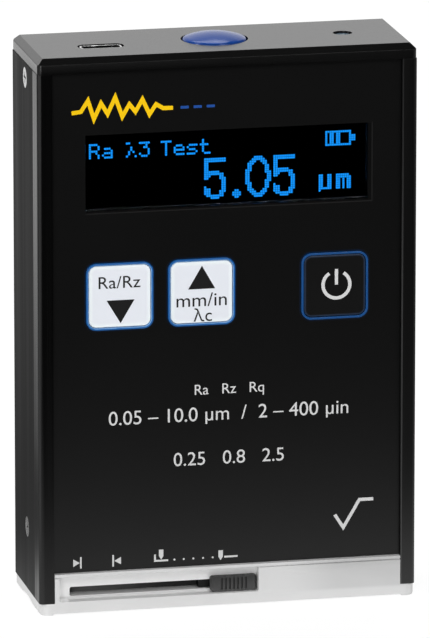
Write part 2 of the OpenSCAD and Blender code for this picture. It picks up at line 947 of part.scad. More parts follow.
// Bent leaf under the carriage's bridge that presses the pick-up down
module pressure_spring() {
    leaf = 0.2;
    touch_x = hinge_x - 5.5;
    color("#c9a64a")
        facing(-1.2, 1.2)
            polygon([[hinge_x + 0.8, bridge_z], [hinge_x - 1.8, bridge_z], [touch_x, lever_z1 + leaf],
                [touch_x - 0.8, lever_z1 + 2 * leaf], [touch_x - 0.8, lever_z1 + leaf], [touch_x, lever_z1],
                [hinge_x - 1.9, bridge_z - leaf], [hinge_x + 0.8, bridge_z - leaf]]);
}

module skid() {
    color("#7c1f2c") {
        rod_y(skid_r, -1, 1, skid_x, ride_z + skid_r);
        block([skid_x - skid_r, 0.65, ride_z + skid_r], [skid_x + skid_r, 1, nose_z]);
        block([skid_x - skid_r, -1, ride_z + skid_r], [skid_x + skid_r, -0.65, nose_z]);
    }
}

module stylus_arm() {
    color("#c3c5c9") {
        rod_y(0.4, -lever_w / 2 + 0.1, lever_w / 2 - 0.1, pivot_x, pivot_z);
        block([tip_x - 0.35, -0.35, pivot_z - 0.3], [pivot_x, 0.35, pivot_z + 0.3]);
        rod_z(0.35, 0.8, pivot_z, tip_x, 0);
    }
}

module diamond_tip() {
    color("#9fc4d8")
        translate([tip_x, 0, ride_z])
            cylinder(r1 = 0.05, r2 = 0.35, h = 0.8 - ride_z);
}

housing();
front_plate();
front_overlay();
display_lens();
display_module();
display_carrier();
key_bezels();
key_down();
key_up();
key_power();
main_board();
board_chips();
key_switches();
start_switch();
usb_socket();
usb_tongue();
indicator_led();
battery();
battery_tape();
top_cap();
start_button();
side_screws();
base();
bar_guide();
slider_knob();
slide_bar();
slider_screws();
drive_frame();
frame_screws();
guide_rods();
screw_bush();
lead_screw();
coupling_sleeve();
motor_shaft();
gearbox();
drive_motor();
carriage();
drive_nut();
hinge_pin();
pickup_lever();
lift_pin();
pressure_spring();
skid();
stylus_arm();
diamond_tip();
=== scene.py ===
import math

import bmesh
import bpy
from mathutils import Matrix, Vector


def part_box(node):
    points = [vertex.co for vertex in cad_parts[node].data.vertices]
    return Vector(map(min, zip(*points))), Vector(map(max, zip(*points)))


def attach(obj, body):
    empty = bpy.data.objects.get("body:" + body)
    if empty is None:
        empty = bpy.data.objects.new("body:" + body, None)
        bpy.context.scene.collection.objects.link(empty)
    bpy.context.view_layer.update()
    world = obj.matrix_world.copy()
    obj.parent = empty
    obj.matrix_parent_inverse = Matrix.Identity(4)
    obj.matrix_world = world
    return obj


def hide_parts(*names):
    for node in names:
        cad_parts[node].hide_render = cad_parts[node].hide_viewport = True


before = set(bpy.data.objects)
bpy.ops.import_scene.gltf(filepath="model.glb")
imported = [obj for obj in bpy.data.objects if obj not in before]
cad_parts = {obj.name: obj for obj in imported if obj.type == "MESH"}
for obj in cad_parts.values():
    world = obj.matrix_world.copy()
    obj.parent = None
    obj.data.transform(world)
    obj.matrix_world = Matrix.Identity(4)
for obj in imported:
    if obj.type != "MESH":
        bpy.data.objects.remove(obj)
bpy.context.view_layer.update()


# Housing
# A C-shaped aluminium extrusion, cut to length and anodised black. The die leaves fine lines up its faces
# and rounds its long edges. The cut ends are only deburred.
MM = 0.001


class Shade:
    """One socket of a material. Sums on it add Math nodes, and node() adds any other kind."""

    def __init__(self, socket):
        self.socket = socket
        self.tree = socket.id_data

    def feed(self, target, value):
        if isinstance(value, Shade):
            self.tree.links.new(value.socket, target)
        else:
            target.default_value = value

    def node(self, kind, settings, sockets, out=0):
        made = self.tree.nodes.new(kind)
        for name, value in settings.items():
            setattr(made, name, value)
        for name, value in sockets.items():
            self.feed(made.inputs[name], value)
        return Shade(made.outputs[out])

    def maths(self, operation, first, second=0.0):
        return self.node("ShaderNodeMath", {"operation": operation}, {0: first, 1: second})

    def __add__(self, other):
        return self.maths("ADD", self, other)

    __radd__ = __add__

    def __sub__(self, other):
        return self.maths("SUBTRACT", self, other)

    def __rsub__(self, other):
        return self.maths("SUBTRACT", other, self)

    def __mul__(self, other):
        return self.maths("MULTIPLY", self, other)

    __rmul__ = __mul__

    def __abs__(self):
        return self.maths("ABSOLUTE", self)

    def least(self, other):
        return self.maths("MINIMUM", self, other)

    def most(self, other):
        return self.maths("MAXIMUM", self, other)

    def root(self):
        return self.maths("POWER", self, 0.5)

    def stretched(self, *scales):
        return self.node("ShaderNodeVectorMath", {"operation": "MULTIPLY"}, {0: self, 1: scales})

    def noise(self, scale, detail=2.0):
        return self.node("ShaderNodeTexNoise", {}, {"Vector": self, "Scale": scale, "Detail": detail})

    def part(self, axis):
        return self.node("ShaderNodeSeparateXYZ", {}, {0: self}, "XYZ".index(axis))

    def ramp(self, low, high, at_low=0.0, at_high=1.0):
        ends = {"From Min": low, "From Max": high, "To Min": at_low, "To Max": at_high}
        return self.node("ShaderNodeMapRange", {"interpolation_type": "SMOOTHSTEP"}, {"Value": self, **ends})

    def blend(self, at_zero, at_one):
        return self.node("ShaderNodeMix", {"data_type": "RGBA"}, {0: self, 6: at_zero, 7: at_one}, 2)

    def bump(self, strength, depth):
        return self.node("ShaderNodeBump", {}, {"Strength": strength, "Distance": depth, "Height": self})


def new_finish(name, fixed):
    """A material with its constant sockets set, its Object coordinates, and a call that feeds a socket."""
    material = bpy.data.materials.new(name)
    material.use_nodes = True
    shader = material.node_tree.nodes["Principled BSDF"]
    for socket, value in fixed.items():
        shader.inputs[socket].default_value = value
    place = Shade(material.node_tree.nodes.new("ShaderNodeTexCoord").outputs["Object"])

    def vary(socket, value):
        place.feed(shader.inputs[socket], value)

    return material, place, vary


def grey(level):
    return (level, level, level, 1.0)


def settled(piece):
    """Gives a piece the mesh that its modifiers make, and drops the modifiers."""
    graph = bpy.context.evaluated_depsgraph_get()
    shaped = piece.evaluated_get(graph)
    made = bpy.data.meshes.new_from_object(shaped, preserve_all_data_layers=True, depsgraph=graph)
    piece.modifiers.clear()
    piece.data = made
    return piece


def placed(name, mesh, material):
    """A piece made of a finished mesh, in one material."""
    piece = bpy.data.objects.new(name, mesh)
    bpy.context.scene.collection.objects.link(piece)
    mesh.materials.clear()
    mesh.materials.append(material)
    return piece


def softened(name, node, edge, material, rounds=3):
    """A copy of a CAD node, its triangles joined into whole faces and its sharp edges slightly rounded."""
    same_point, same_face, sharp = 0.002 * MM, math.radians(0.5), math.radians(30)
    work = bmesh.new()
    work.from_mesh(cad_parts[node].data)
    bmesh.ops.remove_doubles(work, verts=work.verts, dist=same_point)
    bmesh.ops.dissolve_limit(work, angle_limit=same_face, verts=work.verts, edges=work.edges)
    mesh = bpy.data.meshes.new(name)
    work.to_mesh(mesh)
    work.free()
    piece = placed(name, mesh, material)
    mesh.shade_smooth()
    mesh.set_sharp_from_angle(angle=sharp)
    bevel = piece.modifiers.new("broken_edge", "BEVEL")
    bevel.width = edge
    bevel.segments = rounds
    bevel.limit_method = "ANGLE"
    bevel.angle_limit = sharp
    bevel.harden_normals = True
    return settled(piece)


def fixed_to(body, slot, piece, *stands_for):
    """Ties a piece to its body, in place of the CAD nodes that it stands for. The slot is not used."""
    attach(piece, body)
    if stands_for:
        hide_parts(*stands_for)


HOUSING_EDGE = 0.2 * MM
BLACK_DYE, THIN_DYE, LIP_HIGHLIGHT_GREY = grey(0.0008), grey(0.0026), grey(0.045)
housing_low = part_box("housing")[0]
lip_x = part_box("front_overlay")[1].x + 0.1 * MM

anodised, place, vary = new_finish("black_anodised", {"Specular IOR Level": 0.2, "Coat Roughness": 0.22})
die_lines = place.stretched(9000, 9000, 25).noise(1.0, 3.0)
draw_marks = place.stretched(800, 420, 7).noise(1.0)
across, inward, height = place.part("X"), place.part("Y") - housing_low.y, place.part("Z")

# Painted highlight: the inner edge of the right lip is coloured paler, fainter towards the top.
past_lip = across - lip_x
painted_lip_highlight = past_lip.ramp(-0.1 * MM, 0.0) * past_lip.ramp(0.1 * MM, 0.22 * MM, 1.0, 0.0)
painted_lip_highlight = painted_lip_highlight * inward.ramp(0.5 * MM, 0.7 * MM, 1.0, 0.0) * height.ramp(55 * MM, 98 * MM, 1.0, 0.3)
painted_lip_glint = painted_lip_highlight * (0.5 + draw_marks)
vary("Base Color", painted_lip_glint.blend(die_lines.blend(BLACK_DYE, THIN_DYE), LIP_HIGHLIGHT_GREY))

# Handling has polished the front, and a stripe down each side just behind it.
front = inward.ramp(0.1 * MM, 0.5 * MM, 1.0, 0.0)
front_polish = front * across.ramp(-30 * MM, -20 * MM, 0.36, 0.15)
stripe = inward.ramp(0.7 * MM, 0.9 * MM) * inward.ramp(4.4 * MM, 4.8 * MM, 1.0, 0.0)
stripe = stripe * (height.ramp(18 * MM, 36 * MM, 0.3, 1.0) + height.ramp(4 * MM, 18 * MM, 0.6, 0.0))
vary("Roughness", 0.4 + 0.1 * die_lines + 0.3 * draw_marks - 0.34 * stripe - front_polish)

# The sealed dye shines along the front and on the rounded left corner.
sheen = front * height.ramp(2 * MM, 30 * MM, 0.8, 0.2) * across.ramp(-20 * MM, 20 * MM, 0.4, 1.0)
past_side = across - housing_low.x
corner = inward.ramp(0.6 * MM, 0.8 * MM, 1.0, 0.0) * past_side.ramp(0.7 * MM, 1.0 * MM, 1.0, 0.0)
vary("Coat Weight", sheen + 0.7 * corner * height.ramp(8 * MM, 35 * MM, 0.4, 1.0))
vary("Normal", die_lines.bump(0.25, 0.02 * MM))
fixed_to("body", "black_anodised", softened("housing_shell", "housing", HOUSING_EDGE, anodised), "housing")


# Front plate and its film
# An aluminium plate slides into the housing's grooves. A satin black printed film is glued over it, with a
# fine pebble in its top coat. Close to the key frames it is painted blue, a painted glow for the frames'
# light.
def coated(material, *nodes):
    """Gives a finish to CAD nodes that keep their own shape."""
    for node in nodes:
        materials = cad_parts[node].data.materials
        materials.clear()
        materials.append(material)


KEY_ROUND = 1.9
key_boxes = [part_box(key) for key in ("key_down", "key_up", "key_power")]
key_places = [(low.x + high.x) / 2 / MM for low, high in key_boxes]
key_low, key_high = (corner / MM for corner in key_boxes[0])
key_core = (key_high.x - key_low.x) / 2 - KEY_ROUND
key_middle = (key_low.z + key_high.z) / 2


def from_key_middles(place):
    """Millimetres outward from the straight core of the nearest key, even all round its rounded outline."""
    across, height = place.part("X") * (1 / MM), place.part("Z") * (1 / MM)
    from_down, from_up, from_power = (abs(across - x) for x in key_places)
    aside = (from_down.least(from_up.least(from_power)) - key_core).most(0.0)
    above = (abs(height - key_middle) - key_core).most(0.0)
    return (aside * aside + above * above).root()


film, place, vary = new_finish("film_black", {"Specular IOR Level": 0.4})
pebble = place.noise(5200.0, 1.0)
top_coat = place.noise(40.0).blend(grey(0.0014), grey(0.0026))
# Painted glow: the film is coloured blue close to the key frames.
painted_frame_glow = from_key_middles(place).ramp(KEY_ROUND - 0.05, KEY_ROUND + 0.45, 1.0, 0.0)
vary("Base Color", painted_frame_glow.blend(top_coat, (0.0015, 0.012, 0.042, 1.0)))
vary("Roughness", 0.3 + 0.08 * pebble)
vary("Normal", pebble.bump(0.08, 0.01 * MM))
coated(film, "front_overlay")
coated(anodised, "front_plate")


# Prints on the film
# Screen-printed inks: a black border with a thin dark edge on two sides of the window, a yellow profile
# trace with blue dashes, pale scale rows, a texture tick, and the park and measure signs above the slot.
INK = 0.02 * MM


def ink(name, colour):
    material, place, vary = new_finish(name, {"Specular IOR Level": 0.15})
    grain = place.noise(3000.0)
    thin = tuple(0.93 * part for part in colour[:3]) + (1.0,)
    vary("Base Color", grain.blend(thin, colour))
    vary("Roughness", 0.45 + 0.1 * grain)
    return material


def sheet(name, outlines, y, material):
    """Flat shapes, drawn in millimetres as they are seen from the front, on one plane."""
    work = bmesh.new()
    for outline in outlines:
        face = work.faces.new([work.verts.new((x * MM, y, z * MM)) for x, z in outline])
        face.normal_update()
        if face.normal.y > 0:
            face.normal_flip()
    bmesh.ops.triangulate(work, faces=work.faces)
    mesh = bpy.data.meshes.new(name)
    work.to_mesh(mesh)
    work.free()
    return placed(name, mesh, material)


def stroke(points, width):
    """Outlines of a line of even width through points, one quad a stretch, mitred where it turns."""
    half = width / 2
    turns = []
    for (x0, z0), (x1, z1) in zip(points, points[1:]):
        long = math.hypot(x1 - x0, z1 - z0)
        turns.append(Vector((-(z1 - z0) / long, (x1 - x0) / long)))
    edges = []
    for i, point in enumerate(points):
        before, after = turns[max(i - 1, 0)], turns[min(i, len(turns) - 1)]
        mitre = (before + after) * (half / (1 + before.dot(after)))
        edges.append((Vector(point) + mitre, Vector(point) - mitre))
    return [[a0, a1, b1, b0] for (a0, b0), (a1, b1) in zip(edges, edges[1:])]


def disc(x, z, radius, sides=20):
    turns = [2 * math.pi * i / sides for i in range(sides)]
    return [(x + radius * math.cos(turn), z + radius * math.sin(turn)) for turn in turns]


def words(name, text, middle, bottom, top, y, material, width=None):
    """Lettering made a mesh, facing the front and fitted between two heights in millimetres. Without a
    width it keeps its own proportions."""
    curve = bpy.data.curves.new(name, "FONT")
    curve.body = text
    holder = bpy.data.objects.new(name + "_curve", curve)
    bpy.context.scene.collection.objects.link(holder)
    graph = bpy.context.evaluated_depsgraph_get()
    mesh = bpy.data.meshes.new_from_object(holder.evaluated_get(graph))
    bpy.data.objects.remove(holder)
    mesh.name = name
    left, foot = (min(v.co[axis] for v in mesh.vertices) for axis in (0, 1))
    right, head = (max(v.co[axis] for v in mesh.vertices) for axis in (0, 1))
    stretch_z = (top - bottom) / (head - foot)
    stretch_x = width / (right - left) if width else stretch_z
    for v in mesh.vertices:
        x = middle + stretch_x * (v.co.x - (left + right) / 2)
        z = bottom + stretch_z * (v.co.y - foot)
        v.co = Vector((x * MM, y, z * MM))
    return placed(name, mesh, material)


pale_ink = ink("pale_ink", grey(0.72))
black_ink = ink("black_ink", grey(0.0006))
dark_ink = ink("dark_ink", grey(0.012))
yellow_ink = ink("yellow_ink", (1.0, 0.62, 0.0, 1.0))
blue_ink = ink("blue_ink", (0.012, 0.075, 0.33, 1.0))
print_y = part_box("front_overlay")[0].y - INK

BORDER_RIGHT, BORDER_BELOW, BORDER_EDGE = 0.7, 0.4, 0.2
window_low, window_high = (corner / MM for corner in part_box("display_lens"))
border_x, border_z = window_high.x + BORDER_RIGHT, window_low.z - BORDER_BELOW
border = [(window_low.x, window_low.z), (window_low.x, border_z), (border_x, border_z),
          (border_x, window_high.z), (window_high.x, window_high.z), (window_high.x, window_low.z)]
fixed_to("body", "film_black", sheet("print_window_border", [border], print_y, black_ink))
edge_x, edge_z = border_x + BORDER_EDGE / 2, border_z - BORDER_EDGE / 2
edge_points = [(window_low.x, edge_z), (edge_x, edge_z), (edge_x, window_high.z + BORDER_EDGE)]
border_edge = stroke(edge_points, BORDER_EDGE)
fixed_to("body", "film_black", sheet("print_window_edge", border_edge, print_y, dark_ink))

TRACE_LINE, DASH_LINE, TICK_LINE = 0.75, 0.5, 0.6
trace = [(-28.6, 93.0), (-26.9, 93.2), (-25.6, 95.2), (-24.5, 91.8), (-23.2, 94.6), (-22.0, 92.6),
         (-20.6, 95.6), (-19.3, 92.0), (-18.0, 94.2), (-16.9, 92.8), (-15.6, 95.0), (-14.3, 92.2),
         (-13.1, 94.0), (-11.8, 93.2), (-10.0, 93.2)]
fixed_to("body", "brass", sheet("print_trace", stroke(trace, TRACE_LINE), print_y, yellow_ink))
DASH_START, DASH_PITCH, DASH, DASH_Z = -8.6, 2.4, 1.5, 93.2
dash_lefts = [DASH_START + DASH_PITCH * i for i in range(3)]
dashes = [stroke([(x, DASH_Z), (x + DASH, DASH_Z)], DASH_LINE)[0] for x in dash_lefts]
fixed_to("body", "rim_blue", sheet("print_mean_line", dashes, print_y, blue_ink))

scale_rows = [("print_parameters", "Ra   Rz   Rq", 0.4, 39.1, 41.6),
              ("print_range", "0.05 – 10.0 µm  /  2 – 400 µin", 0.3, 34.2, 37.4),
              ("print_filters", "0.25   0.8   2.5", 0.3, 26.55, 29.05)]
for name, text, middle, bottom, top in scale_rows:
    fixed_to("body", "key_white", words(name, text, middle, bottom, top, print_y, pale_ink))

tick = stroke([(20.1, 15.8), (21.7, 13.3), (24.7, 18.4), (27.3, 18.4)], TICK_LINE)
fixed_to("body", "key_white", sheet("print_tick", tick, print_y, pale_ink))


def stylus_sign(x, tip):
    half, shoulder, top = 0.42, tip + 0.7, tip + 1.9
    return [(x - half, top), (x + half, top), (x + half, shoulder), (x, tip), (x - half, shoulder)]


left_stop = [[(-28.62, 10.12), (-27.4, 9.4), (-28.62, 8.68)], *stroke([(-27.2, 8.35), (-27.2, 10.5)], 0.3)]
right_stop = [*stroke([(-21.22, 8.35), (-21.22, 10.55)], 0.32),
              [(-19.75, 10.12), (-19.75, 8.72), (-21.0, 9.42)]]
parked = [*stroke([(-13.45, 10.2), (-13.45, 8.98), (-11.0, 8.98)], 0.36), stylus_sign(-12.3, 9.15)]
way_between = [disc(x, 9.03, 0.19) for x in (-9.83, -8.1, -6.3, -4.5, -2.7)]
measuring = [stylus_sign(-1.22, 8.4), *stroke([(-0.55, 9.03), (1.95, 9.03)], 0.34)]
signs = left_stop + right_stop + parked + way_between + measuring
fixed_to("body", "key_white", sheet("print_signs", signs, print_y, pale_ink))


# Display
# A clear pane closes the window. The display module behind it is black glass, on a white moulded carrier,
# and its lit dots make a reading in blue.
clear = {"Transmission Weight": 1.0, "IOR": 1.45, "Base Color": (0.9, 0.93, 0.95, 1.0)}
pane, place, vary = new_finish("pane", clear)
vary("Roughness", place.noise(60.0).ramp(0.3, 0.8, 0.02, 0.05))
fixed_to("body", "pane", softened("window_pane", "display_lens", 0.03 * MM, pane), "display_lens")

panel_glass, place, vary = new_finish("display_black", {"Roughness": 0.2})
vary("Base Color", place.noise(30.0).blend(grey(0.0006), grey(0.0014)))
coated(panel_glass, "display_module")


def mottled(name, fixed, tones, patch, rough, grain):
    """A finish that drifts between two tones in patches, and between two roughnesses in a finer grain."""
    material, place, vary = new_finish(name, fixed)
    vary("Base Color", place.noise(patch).blend(*tones))
    vary("Roughness", rough[0] + (rough[1] - rough[0]) * place.noise(grain))
    return material


carrier_tones = (grey(0.72), grey(0.8))
moulding = mottled("carrier_white", {"Specular IOR Level": 0.4}, carrier_tones, 200.0, (0.5, 0.6), 2000.0)
coated(moulding, "display_carrier")


def drawn(column, row, strokes, pen):
    """Dots of the display whose middles lie within a pen's reach of strokes, all measured in dots."""
    marked = set()
    for points in strokes:
        for (x0, z0), (x1, z1) in zip(points, points[1:]):
            steps = max(2, int(6 * math.hypot(x1 - x0, z1 - z0)))
            for i in range(steps + 1):
                x, z = x0 + (x1 - x0) * i / steps, z0 + (z1 - z0) * i / steps
                for c in range(math.floor(x - pen), math.ceil(x + pen) + 1):
                    for r in range(math.floor(z - pen), math.ceil(z + pen) + 1):
                        if math.hypot(c - x, r - z) <= pen:
                            marked.add((column + c, row + r))
    return marked


def oval(x, z, across, up, start=0, end=360):
    steps = max(8, abs(end - start) // 9)
    turns = [math.radians(start + (end - start) * i / steps) for i in range(steps + 1)]
    return [(x + across * math.cos(turn), z + up * math.sin(turn)) for turn in turns]


FINE_PEN, UNIT_PEN, DIGIT_PEN, POINT_PEN = 0.3, 0.6, 1.05, 1.6
TOP_ROW, CELL_ROW, DIGIT_ROW, POINT_ROW, UNIT_ROW = 22, 23, 1, 2, 3
letters = {
    "R": [[(0, 0), (0, 6), (3, 6), (4, 5), (4, 4), (3, 3), (0, 3)], [(2, 3), (4, 1), (4, 0)]],
    "a": [[(1, 4), (3, 4), (4, 3), (4, 0)], [(4, 2), (1, 2), (0, 1), (1, 0), (4, 0)]],
    "λ": [[(0, 6), (1, 6), (2, 4), (4, 0)], [(2, 3), (0, 0)]],
    "3": [[(0, 6), (4, 6), (2, 4), (3, 4), (4, 3), (4, 1), (3, 0), (1, 0), (0, 1)]],
    "T": [[(0, 6), (4, 6)], [(2, 6), (2, 0)]],
    "e": [[(4, 0), (1, 0), (0, 1), (0, 3), (1, 4), (3, 4), (4, 3), (4, 2), (0, 2)]],
    "s": [[(4, 4), (1, 4), (0, 3), (1, 2), (3, 2), (4, 1), (3, 0), (0, 0)]],
    "t": [[(1, 6), (1, 1), (2, 0), (4, 0)], [(0, 4), (3, 4)]],
}
lit = set()
for letter, column in zip("Raλ3Test", (1, 7, 18, 24, 34, 40, 46, 52)):
    lit |= drawn(column, TOP_ROW, letters[letter], FINE_PEN)

five = [[(1.5, 17.6), (9.4, 17.6)], [(1.5, 17.6), (1.5, 9.6)],
        [(1.5, 9.4), (3.2, 11), (5.6, 11.6), *oval(5.4, 6, 4.5, 5.6, 75, -160)], [(1.6, 3.2), (2.6, 3.2)]]
nought = [oval(5.4, 9, 4.7, 8.7)]
point = [[(0.5, 0.5), (0.5, 0.6)]]
micro = [[(0.5, -1.5), (1.5, -0.5), (1.5, 6)], [(1.5, 0), (5.5, 0)], [(5.5, 6), (5.5, 0)]]
metre = [[(0.5, 0), (0.5, 6)], [(0.5, 5.5), (5.5, 5.5)], [(3, 5), (3, 0)], [(5.5, 5), (5.5, 0)]]
cell = [[(0, 0), (11, 0), (11, 6), (0, 6), (0, 0)], [(12, 2), (12, 4)], [(13, 2), (13, 4)]]
charge = [[(x, 1), (x, 5)] for x in (2, 3, 5, 6)]
reading = [(53, DIGIT_ROW, five, DIGIT_PEN), (68, POINT_ROW, point, POINT_PEN),
           (73, DIGIT_ROW, nought, DIGIT_PEN), (85, DIGIT_ROW, five, DIGIT_PEN),
           (106, UNIT_ROW, micro, UNIT_PEN), (115, UNIT_ROW, metre, UNIT_PEN),
           (110, CELL_ROW, cell, FINE_PEN), (110, CELL_ROW, charge, FINE_PEN)]
for column, row, strokes, pen in reading:
    lit |= drawn(column, row, strokes, pen)

unlit = {"Base Color": grey(0.0), "Specular IOR Level": 0.0, "Emission Strength": 1.15}
glow, place, vary = new_finish("lit_blue", unlit)
vary("Emission Color", place.noise(900.0).blend((0.004, 0.26, 0.86, 1.0), (0.012, 0.32, 1.0, 1.0)))


def instanced(name, points, shape, sizes, material):
    """One mesh of a small shape repeated on points, made by a node tree with its sizes as named inputs."""
    tree = bpy.data.node_groups.new(name, "GeometryNodeTree")
    tree.interface.new_socket("Geometry", in_out="OUTPUT", socket_type="NodeSocketGeometry")
    tree.interface.new_socket("Geometry", in_out="INPUT", socket_type="NodeSocketGeometry")
    inputs = {size: tree.interface.new_socket(size, in_out="INPUT", socket_type="NodeSocketVector")
              for size in sizes}
    entry, leave = tree.nodes.new("NodeGroupInput"), tree.nodes.new("NodeGroupOutput")
    unit = tree.nodes.new(shape)
    repeat = tree.nodes.new("GeometryNodeInstanceOnPoints")
    whole = tree.nodes.new("GeometryNodeRealizeInstances")
    colour = tree.nodes.new("GeometryNodeSetMaterial")
    colour.inputs["Material"].default_value = material
    for size in sizes:
        tree.links.new(entry.outputs[size], unit.inputs[size])
    tree.links.new(entry.outputs["Geometry"], repeat.inputs["Points"])
    tree.links.new(unit.outputs["Mesh"], repeat.inputs["Instance"])
    tree.links.new(repeat.outputs["Instances"], whole.inputs["Geometry"])
    tree.links.new(whole.outputs["Geometry"], colour.inputs["Geometry"])
    tree.links.new(colour.outputs["Geometry"], leave.inputs["Geometry"])
    mesh = bpy.data.meshes.new(name)
    mesh.from_pydata(points, [], [])
    piece = placed(name, mesh, material)
    modifier = piece.modifiers.new(name, "NODES")
    modifier.node_group = tree
    for size, value in sizes.items():
        modifier[inputs[size].identifier] = value
    return settled(piece)


DOT_PITCH, DOT_SIDE, DOT_THICK, DOT_LIFT = 0.4, 0.35, 0.02, 0.03
first_x, first_z = window_low.x + 0.6, window_low.z + 0.7
dot_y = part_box("display_module")[0].y - DOT_LIFT * MM
dots = [((first_x + c * DOT_PITCH) * MM, dot_y, (first_z + r * DOT_PITCH) * MM) for c, r in sorted(lit)]
dot_size = {"Size": (DOT_SIDE * MM, DOT_THICK * MM, DOT_SIDE * MM)}
fixed_to("body", "display_black", instanced("display_dots", dots, "GeometryNodeMeshCube", dot_size, glow))


# Key frames
# Three square frames moulded in clear blue, pressed into the plate from behind. Their colour holds painted
# light: bright blue on the inside of the rims fading darker outward, for light gathering in them, and paler
# on the inside of the two left frames, for the white keys' light.
rim_blue, place, vary = new_finish("rim_blue", {"Specular IOR Level": 0.4})
outward = from_key_middles(place) + 0.1 * place.noise(900.0)
by_white = place.part("X").ramp(5.0 * MM, 10.0 * MM, 1.0, 0.0)
clear_blue = by_white.blend((0.003, 0.07, 0.25, 1.0), (0.004, 0.11, 0.38, 1.0))
# Painted light: the inner rims are paler by the white keys, and the blue fades darker outward from the rims.
painted_white_key_wash = by_white * outward.ramp(KEY_ROUND - 0.45, KEY_ROUND - 0.15, 1.0, 0.0)
lit_blue = painted_white_key_wash.blend(clear_blue, (0.32, 0.58, 0.92, 1.0))
painted_glow_fade = outward.ramp(KEY_ROUND - 0.1, KEY_ROUND + 0.3)
vary("Base Color", painted_glow_fade.blend(lit_blue, (0.001, 0.028, 0.1, 1.0)))
vary("Roughness", 0.3 + 0.1 * place.noise(2500.0))
fixed_to("body", "rim_blue", softened("key_frames", "key_bezels", 0.16 * MM, rim_blue), "key_bezels")


# Keys
# Two white keys and a black one, each a moulded pad on a flange behind its frame. The legends are printed
# dark on the white keys and pale on the black one, whose rim has a painted bluish highlight.
PAD_EDGE = 0.22 * MM
key_white, place, vary = new_finish("key_white", {"Specular IOR Level": 0.4})
edge = (from_key_middles(place) + 0.15 * place.noise(700.0)).ramp(KEY_ROUND - 1.4, KEY_ROUND - 0.55)
vary("Base Color", edge.blend((0.83, 0.86, 0.92, 1.0), (0.92, 0.98, 1.0, 1.0)))
vary("Roughness", 0.42 + 0.08 * place.noise(2600.0))
for key in ("down", "up"):
    pad = softened("key_pad_" + key, "key_" + key, PAD_EDGE, key_white)
    fixed_to("key_" + key, "key_white", pad, "key_" + key)

key_black, place, vary = new_finish("key_black", {"Specular IOR Level": 0.3})
# Painted highlight: the black key's rim is coloured a pale blue-grey.
painted_rim_highlight = (from_key_middles(place) + 0.1 * place.noise(700.0)).ramp(KEY_ROUND - 0.95, KEY_ROUND - 0.5)
black_pad = place.noise(150.0).blend(grey(0.0014), grey(0.0026))
vary("Base Color", painted_rim_highlight.blend(black_pad, (0.018, 0.035, 0.075, 1.0)))
vary("Roughness", 0.4 + 0.08 * place.noise(2600.0))
fixed_to("key_power", "film_black", softened("key_pad_power", "key_power", PAD_EDGE, key_black), "key_power")

legend_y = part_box("key_down")[0].y - INK
legends = [("key_down", "legend_parameter", "Ra/Rz", -19.95, 60.4, 62.65, 7.7),
           ("key_up", "legend_unit", "mm/in", -4.8, 56.25, 58.75, 9.3),
           ("key_up", "legend_filter", "λc", -4.6, 53.45, 55.95, 3.4)]
for key, name, text, middle, bottom, top, width in legends:
    fixed_to(key, "film_black", words(name, text, middle, bottom, top, legend_y, dark_ink, width))
arrows = [("key_down", "legend_down", [(-22.35, 58.2), (-17.2, 58.2), (-19.78, 53.9)]),
          ("key_up", "legend_up", [(-7.3, 59.5), (-2.3, 59.5), (-4.75, 63.8)])]
for key, name, outline in arrows:
    fixed_to(key, "film_black", sheet(name, [outline], legend_y, dark_ink))

POWER_X, POWER_Z, RING, RING_LINE, BAR, BAR_LINE = 20.2, 59.05, 2.5, 0.62, 2.9, 0.6
ring = oval(POWER_X, POWER_Z, RING, RING, 122, 418)
bar = [(POWER_X, POWER_Z), (POWER_X, POWER_Z + BAR)]
power_sign = stroke(ring, RING_LINE) + stroke(bar, BAR_LINE)
fixed_to("key_power", "key_white", sheet("legend_power", power_sign, legend_y, pale_ink))


# Board and what it carries
# A green laminate board in the housing's grooves, with moulded chips, key switches and the start switch
# soldered to it. A clear lamp at its upper edge reaches into the cap's round hole.
laminate, place, vary = new_finish("board_green", {"Specular IOR Level": 0.5})
weave = place.noise(500.0, 4.0).ramp(0.45, 0.6)
vary("Base Color", weave.blend((0.012, 0.11, 0.045, 1.0), (0.02, 0.17, 0.07, 1.0)))
vary("Roughness", 0.35 + 0.15 * place.noise(900.0))
coated(laminate, "main_board")

chip_tones = (grey(0.012), grey(0.022))
chip_black = mottled("chip_black", {"Specular IOR Level": 0.4}, chip_tones, 1500.0, (0.55, 0.7), 4000.0)
coated(chip_black, "board_chips")

steel = mottled("bright_steel", {"Metallic": 1.0}, (grey(0.62), grey(0.74)), 300.0, (0.22, 0.34), 3000.0)
coated(steel, "key_switches", "start_switch")


def raised(piece, node, under_cap):
    """Stretches a piece's upper half until its top lies a little under the cap's top."""
    low, high = (corner.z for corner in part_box(node))
    middle = (low + high) / 2
    reach = (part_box("top_cap")[1].z - under_cap - middle) / (high - middle)
    for v in piece.data.vertices:
        v.co.z = max(v.co.z, middle + reach * (v.co.z - middle))
    return piece


LAMP_DEPTH = 0.35 * MM
lamp_tones = ((0.09, 0.14, 0.19, 1.0), (0.14, 0.2, 0.26, 1.0))
lamp_clear = mottled("lamp_clear", {"Coat Weight": 0.6}, lamp_tones, 300.0, (0.2, 0.3), 900.0)
lamp = raised(softened("lamp_dome", "indicator_led", 0.05 * MM, lamp_clear, 2), "indicator_led", LAMP_DEPTH)
fixed_to("body", "lamp_clear", lamp, "indicator_led")


# Charging socket
# A bright plated steel shell folded round a black tongue, soldered to the board's tab under the cap's
# cut-out. It is painted dark below its rim, for the shade in the cut-out, and bright in patches along the
# rim, as painted glints.
SHELL_DEPTH = 0.12 * MM
socket_steel, place, vary = new_finish("socket_steel", {"Metallic": 1.0})
below_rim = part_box("top_cap")[1].z - SHELL_DEPTH - place.part("Z")
